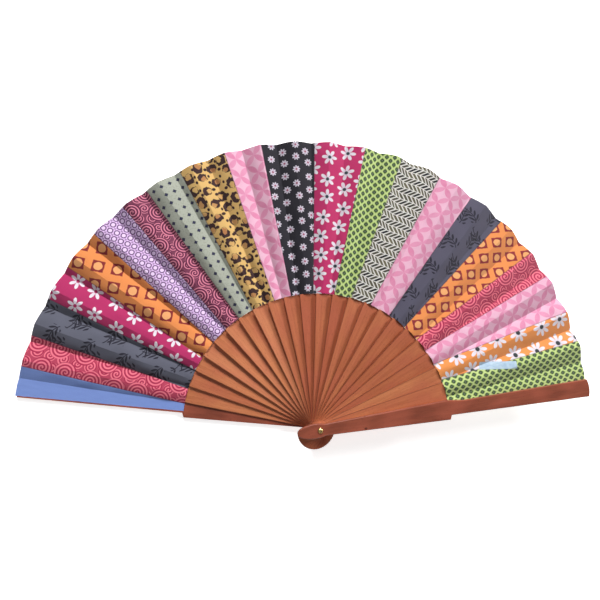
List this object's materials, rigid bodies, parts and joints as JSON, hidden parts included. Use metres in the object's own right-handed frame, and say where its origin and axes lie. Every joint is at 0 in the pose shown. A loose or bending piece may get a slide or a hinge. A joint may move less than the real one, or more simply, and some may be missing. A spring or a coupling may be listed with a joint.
{
  "type": "hand fan",
  "caption": "Folding hand fan: flat wooden ribs between guards turn on a brass rivet and spread a pleated patchwork cloth leaf, shown open.",
  "frame": {"origin": "where the rivet's axis meets the back face of the rear guard", "axes": "+Z along the rivet, from the rear guard to the front guard; +Y is the middle of the open fan; the rear guard points to -X and the front guard to +X"},
  "size_m": [0.4256, 0.23, 0.0285],
  "materials": {
    "guard_wood": "satin varnish",
    "rib_wood": "satin",
    "leaf_cloth": "printed cotton",
    "brass": "polished"
  },
  "bodies": {
    "handle": {"rear_guard": "guard_wood", "leaf_first_facet": "leaf_cloth", "rivet": "brass"},
    "front_guard": {"front_guard": "guard_wood", "leaf_end_flap": "leaf_cloth"},
    "fold_00": {"free_fold_00": "leaf_cloth"},
    "fold_01": {"free_fold_01": "leaf_cloth"},
    "fold_02": {"free_fold_02": "leaf_cloth"},
    "fold_03": {"free_fold_03": "leaf_cloth"},
    "fold_04": {"free_fold_04": "leaf_cloth"},
    "fold_05": {"free_fold_05": "leaf_cloth"},
    "fold_06": {"free_fold_06": "leaf_cloth"},
    "fold_07": {"free_fold_07": "leaf_cloth"},
    "fold_08": {"free_fold_08": "leaf_cloth"},
    "fold_09": {"free_fold_09": "leaf_cloth"},
    "fold_10": {"free_fold_10": "leaf_cloth"},
    "fold_11": {"free_fold_11": "leaf_cloth"},
    "fold_12": {"free_fold_12": "leaf_cloth"},
    "fold_13": {"free_fold_13": "leaf_cloth"},
    "fold_14": {"free_fold_14": "leaf_cloth"},
    "fold_15": {"free_fold_15": "leaf_cloth"},
    "fold_16": {"free_fold_16": "leaf_cloth"},
    "fold_17": {"free_fold_17": "leaf_cloth"},
    "fold_18": {"free_fold_18": "leaf_cloth"},
    "fold_19": {"free_fold_19": "leaf_cloth"},
    "fold_20": {"free_fold_20": "leaf_cloth"},
    "fold_21": {"free_fold_21": "leaf_cloth"},
    "fold_22": {"free_fold_22": "leaf_cloth"},
    "rib_01": {"rib_01": "rib_wood"},
    "rib_02": {"rib_02": "rib_wood"},
    "rib_03": {"rib_03": "rib_wood"},
    "rib_04": {"rib_04": "rib_wood"},
    "rib_05": {"rib_05": "rib_wood"},
    "rib_06": {"rib_06": "rib_wood"},
    "rib_07": {"rib_07": "rib_wood"},
    "rib_08": {"rib_08": "rib_wood"},
    "rib_09": {"rib_09": "rib_wood"},
    "rib_10": {"rib_10": "rib_wood"},
    "rib_11": {"rib_11": "rib_wood"},
    "rib_12": {"rib_12": "rib_wood"},
    "rib_13": {"rib_13": "rib_wood"},
    "rib_14": {"rib_14": "rib_wood"},
    "rib_15": {"rib_15": "rib_wood"},
    "rib_16": {"rib_16": "rib_wood"},
    "rib_17": {"rib_17": "rib_wood"},
    "rib_18": {"rib_18": "rib_wood"},
    "rib_19": {"rib_19": "rib_wood"},
    "rib_20": {"rib_20": "rib_wood"},
    "rib_21": {"rib_21": "rib_wood"},
    "rib_22": {"rib_22": "rib_wood"}
  },
  "joints": [
    {"name": "fan_fold", "type": "hinge", "parent": "handle", "child": "front_guard", "pos_m": [0, 0, 0], "axis": [0, 0, 1], "range_deg": [0, 164.68]},
    {"name": "fold_00_turn", "type": "hinge", "parent": "handle", "child": "fold_00", "pos_m": [0, 0, 0], "axis": [0, 0, 1], "range_deg": [0, 3.59]},
    {"name": "fold_01_turn", "type": "hinge", "parent": "handle", "child": "fold_01", "pos_m": [0, 0, 0], "axis": [0, 0, 1], "range_deg": [0, 10.75]},
    {"name": "fold_02_turn", "type": "hinge", "parent": "handle", "child": "fold_02", "pos_m": [0, 0, 0], "axis": [0, 0, 1], "range_deg": [0, 17.91]},
    {"name": "fold_03_turn", "type": "hinge", "parent": "handle", "child": "fold_03", "pos_m": [0, 0, 0], "axis": [0, 0, 1], "range_deg": [0, 25.07]},
    {"name": "fold_04_turn", "type": "hinge", "parent": "handle", "child": "fold_04", "pos_m": [0, 0, 0], "axis": [0, 0, 1], "range_deg": [0, 32.23]},
    {"name": "fold_05_turn", "type": "hinge", "parent": "handle", "child": "fold_05", "pos_m": [0, 0, 0], "axis": [0, 0, 1], "range_deg": [0, 39.39]},
    {"name": "fold_06_turn", "type": "hinge", "parent": "handle", "child": "fold_06", "pos_m": [0, 0, 0], "axis": [0, 0, 1], "range_deg": [0, 46.55]},
    {"name": "fold_07_turn", "type": "hinge", "parent": "handle", "child": "fold_07", "pos_m": [0, 0, 0], "axis": [0, 0, 1], "range_deg": [0, 53.71]},
    {"name": "fold_08_turn", "type": "hinge", "parent": "handle", "child": "fold_08", "pos_m": [0, 0, 0], "axis": [0, 0, 1], "range_deg": [0, 60.87]},
    {"name": "fold_09_turn", "type": "hinge", "parent": "handle", "child": "fold_09", "pos_m": [0, 0, 0], "axis": [0, 0, 1], "range_deg": [0, 68.03]},
    {"name": "fold_10_turn", "type": "hinge", "parent": "handle", "child": "fold_10", "pos_m": [0, 0, 0], "axis": [0, 0, 1], "range_deg": [0, 75.19]},
    {"name": "fold_11_turn", "type": "hinge", "parent": "handle", "child": "fold_11", "pos_m": [0, 0, 0], "axis": [0, 0, 1], "range_deg": [0, 82.35]},
    {"name": "fold_12_turn", "type": "hinge", "parent": "handle", "child": "fold_12", "pos_m": [0, 0, 0], "axis": [0, 0, 1], "range_deg": [0, 89.51]},
    {"name": "fold_13_turn", "type": "hinge", "parent": "handle", "child": "fold_13", "pos_m": [0, 0, 0], "axis": [0, 0, 1], "range_deg": [0, 96.67]},
    {"name": "fold_14_turn", "type": "hinge", "parent": "handle", "child": "fold_14", "pos_m": [0, 0, 0], "axis": [0, 0, 1], "range_deg": [0, 103.83]},
    {"name": "fold_15_turn", "type": "hinge", "parent": "handle", "child": "fold_15", "pos_m": [0, 0, 0], "axis": [0, 0, 1], "range_deg": [0, 110.99]},
    {"name": "fold_16_turn", "type": "hinge", "parent": "handle", "child": "fold_16", "pos_m": [0, 0, 0], "axis": [0, 0, 1], "range_deg": [0, 118.15]},
    {"name": "fold_17_turn", "type": "hinge", "parent": "handle", "child": "fold_17", "pos_m": [0, 0, 0], "axis": [0, 0, 1], "range_deg": [0, 125.31]},
    {"name": "fold_18_turn", "type": "hinge", "parent": "handle", "child": "fold_18", "pos_m": [0, 0, 0], "axis": [0, 0, 1], "range_deg": [0, 132.47]},
    {"name": "fold_19_turn", "type": "hinge", "parent": "handle", "child": "fold_19", "pos_m": [0, 0, 0], "axis": [0, 0, 1], "range_deg": [0, 139.63]},
    {"name": "fold_20_turn", "type": "hinge", "parent": "handle", "child": "fold_20", "pos_m": [0, 0, 0], "axis": [0, 0, 1], "range_deg": [0, 146.79]},
    {"name": "fold_21_turn", "type": "hinge", "parent": "handle", "child": "fold_21", "pos_m": [0, 0, 0], "axis": [0, 0, 1], "range_deg": [0, 153.95]},
    {"name": "fold_22_turn", "type": "hinge", "parent": "handle", "child": "fold_22", "pos_m": [0, 0, 0], "axis": [0, 0, 1], "range_deg": [0, 161.11]},
    {"name": "rib_01_turn", "type": "hinge", "parent": "handle", "child": "rib_01", "pos_m": [0, 0, 0], "axis": [0, 0, 1], "range_deg": [0, 7.17]},
    {"name": "rib_02_turn", "type": "hinge", "parent": "handle", "child": "rib_02", "pos_m": [0, 0, 0], "axis": [0, 0, 1], "range_deg": [0, 14.33]},
    {"name": "rib_03_turn", "type": "hinge", "parent": "handle", "child": "rib_03", "pos_m": [0, 0, 0], "axis": [0, 0, 1], "range_deg": [0, 21.49]},
    {"name": "rib_04_turn", "type": "hinge", "parent": "handle", "child": "rib_04", "pos_m": [0, 0, 0], "axis": [0, 0, 1], "range_deg": [0, 28.65]},
    {"name": "rib_05_turn", "type": "hinge", "parent": "handle", "child": "rib_05", "pos_m": [0, 0, 0], "axis": [0, 0, 1], "range_deg": [0, 35.81]},
    {"name": "rib_06_turn", "type": "hinge", "parent": "handle", "child": "rib_06", "pos_m": [0, 0, 0], "axis": [0, 0, 1], "range_deg": [0, 42.97]},
    {"name": "rib_07_turn", "type": "hinge", "parent": "handle", "child": "rib_07", "pos_m": [0, 0, 0], "axis": [0, 0, 1], "range_deg": [0, 50.13]},
    {"name": "rib_08_turn", "type": "hinge", "parent": "handle", "child": "rib_08", "pos_m": [0, 0, 0], "axis": [0, 0, 1], "range_deg": [0, 57.29]},
    {"name": "rib_09_turn", "type": "hinge", "parent": "handle", "child": "rib_09", "pos_m": [0, 0, 0], "axis": [0, 0, 1], "range_deg": [0, 64.45]},
    {"name": "rib_10_turn", "type": "hinge", "parent": "handle", "child": "rib_10", "pos_m": [0, 0, 0], "axis": [0, 0, 1], "range_deg": [0, 71.61]},
    {"name": "rib_11_turn", "type": "hinge", "parent": "handle", "child": "rib_11", "pos_m": [0, 0, 0], "axis": [0, 0, 1], "range_deg": [0, 78.77]},
    {"name": "rib_12_turn", "type": "hinge", "parent": "handle", "child": "rib_12", "pos_m": [0, 0, 0], "axis": [0, 0, 1], "range_deg": [0, 85.93]},
    {"name": "rib_13_turn", "type": "hinge", "parent": "handle", "child": "rib_13", "pos_m": [0, 0, 0], "axis": [0, 0, 1], "range_deg": [0, 93.09]},
    {"name": "rib_14_turn", "type": "hinge", "parent": "handle", "child": "rib_14", "pos_m": [0, 0, 0], "axis": [0, 0, 1], "range_deg": [0, 100.25]},
    {"name": "rib_15_turn", "type": "hinge", "parent": "handle", "child": "rib_15", "pos_m": [0, 0, 0], "axis": [0, 0, 1], "range_deg": [0, 107.41]},
    {"name": "rib_16_turn", "type": "hinge", "parent": "handle", "child": "rib_16", "pos_m": [0, 0, 0], "axis": [0, 0, 1], "range_deg": [0, 114.57]},
    {"name": "rib_17_turn", "type": "hinge", "parent": "handle", "child": "rib_17", "pos_m": [0, 0, 0], "axis": [0, 0, 1], "range_deg": [0, 121.73]},
    {"name": "rib_18_turn", "type": "hinge", "parent": "handle", "child": "rib_18", "pos_m": [0, 0, 0], "axis": [0, 0, 1], "range_deg": [0, 128.89]},
    {"name": "rib_19_turn", "type": "hinge", "parent": "handle", "child": "rib_19", "pos_m": [0, 0, 0], "axis": [0, 0, 1], "range_deg": [0, 136.05]},
    {"name": "rib_20_turn", "type": "hinge", "parent": "handle", "child": "rib_20", "pos_m": [0, 0, 0], "axis": [0, 0, 1], "range_deg": [0, 143.21]},
    {"name": "rib_21_turn", "type": "hinge", "parent": "handle", "child": "rib_21", "pos_m": [0, 0, 0], "axis": [0, 0, 1], "range_deg": [0, 150.37]},
    {"name": "rib_22_turn", "type": "hinge", "parent": "handle", "child": "rib_22", "pos_m": [0, 0, 0], "axis": [0, 0, 1], "range_deg": [0, 157.53]}
  ],
  "couplings": [
    {"joint": "fold_00_turn", "follows": "fan_fold", "ratio": 0.021739},
    {"joint": "fold_01_turn", "follows": "fan_fold", "ratio": 0.065217},
    {"joint": "fold_02_turn", "follows": "fan_fold", "ratio": 0.1087},
    {"joint": "fold_03_turn", "follows": "fan_fold", "ratio": 0.15217},
    {"joint": "fold_04_turn", "follows": "fan_fold", "ratio": 0.19565},
    {"joint": "fold_05_turn", "follows": "fan_fold", "ratio": 0.23913},
    {"joint": "fold_06_turn", "follows": "fan_fold", "ratio": 0.28261},
    {"joint": "fold_07_turn", "follows": "fan_fold", "ratio": 0.32609},
    {"joint": "fold_08_turn", "follows": "fan_fold", "ratio": 0.36956},
    {"joint": "fold_09_turn", "follows": "fan_fold", "ratio": 0.41304},
    {"joint": "fold_10_turn", "follows": "fan_fold", "ratio": 0.45652},
    {"joint": "fold_11_turn", "follows": "fan_fold", "ratio": 0.5},
    {"joint": "fold_12_turn", "follows": "fan_fold", "ratio": 0.54348},
    {"joint": "fold_13_turn", "follows": "fan_fold", "ratio": 0.58696},
    {"joint": "fold_14_turn", "follows": "fan_fold", "ratio": 0.63043},
    {"joint": "fold_15_turn", "follows": "fan_fold", "ratio": 0.67391},
    {"joint": "fold_16_turn", "follows": "fan_fold", "ratio": 0.71739},
    {"joint": "fold_17_turn", "follows": "fan_fold", "ratio": 0.76087},
    {"joint": "fold_18_turn", "follows": "fan_fold", "ratio": 0.80435},
    {"joint": "fold_19_turn", "follows": "fan_fold", "ratio": 0.84783},
    {"joint": "fold_20_turn", "follows": "fan_fold", "ratio": 0.8913},
    {"joint": "fold_21_turn", "follows": "fan_fold", "ratio": 0.93478},
    {"joint": "fold_22_turn", "follows": "fan_fold", "ratio": 0.97826},
    {"joint": "rib_01_turn", "follows": "fan_fold", "ratio": 0.043478},
    {"joint": "rib_02_turn", "follows": "fan_fold", "ratio": 0.086957},
    {"joint": "rib_03_turn", "follows": "fan_fold", "ratio": 0.13043},
    {"joint": "rib_04_turn", "follows": "fan_fold", "ratio": 0.17391},
    {"joint": "rib_05_turn", "follows": "fan_fold", "ratio": 0.21739},
    {"joint": "rib_06_turn", "follows": "fan_fold", "ratio": 0.26087},
    {"joint": "rib_07_turn", "follows": "fan_fold", "ratio": 0.30435},
    {"joint": "rib_08_turn", "follows": "fan_fold", "ratio": 0.34783},
    {"joint": "rib_09_turn", "follows": "fan_fold", "ratio": 0.3913},
    {"joint": "rib_10_turn", "follows": "fan_fold", "ratio": 0.43478},
    {"joint": "rib_11_turn", "follows": "fan_fold", "ratio": 0.47826},
    {"joint": "rib_12_turn", "follows": "fan_fold", "ratio": 0.52174},
    {"joint": "rib_13_turn", "follows": "fan_fold", "ratio": 0.56522},
    {"joint": "rib_14_turn", "follows": "fan_fold", "ratio": 0.6087},
    {"joint": "rib_15_turn", "follows": "fan_fold", "ratio": 0.65217},
    {"joint": "rib_16_turn", "follows": "fan_fold", "ratio": 0.69565},
    {"joint": "rib_17_turn", "follows": "fan_fold", "ratio": 0.73913},
    {"joint": "rib_18_turn", "follows": "fan_fold", "ratio": 0.78261},
    {"joint": "rib_19_turn", "follows": "fan_fold", "ratio": 0.82609},
    {"joint": "rib_20_turn", "follows": "fan_fold", "ratio": 0.86957},
    {"joint": "rib_21_turn", "follows": "fan_fold", "ratio": 0.91304},
    {"joint": "rib_22_turn", "follows": "fan_fold", "ratio": 0.95652}
  ]
}
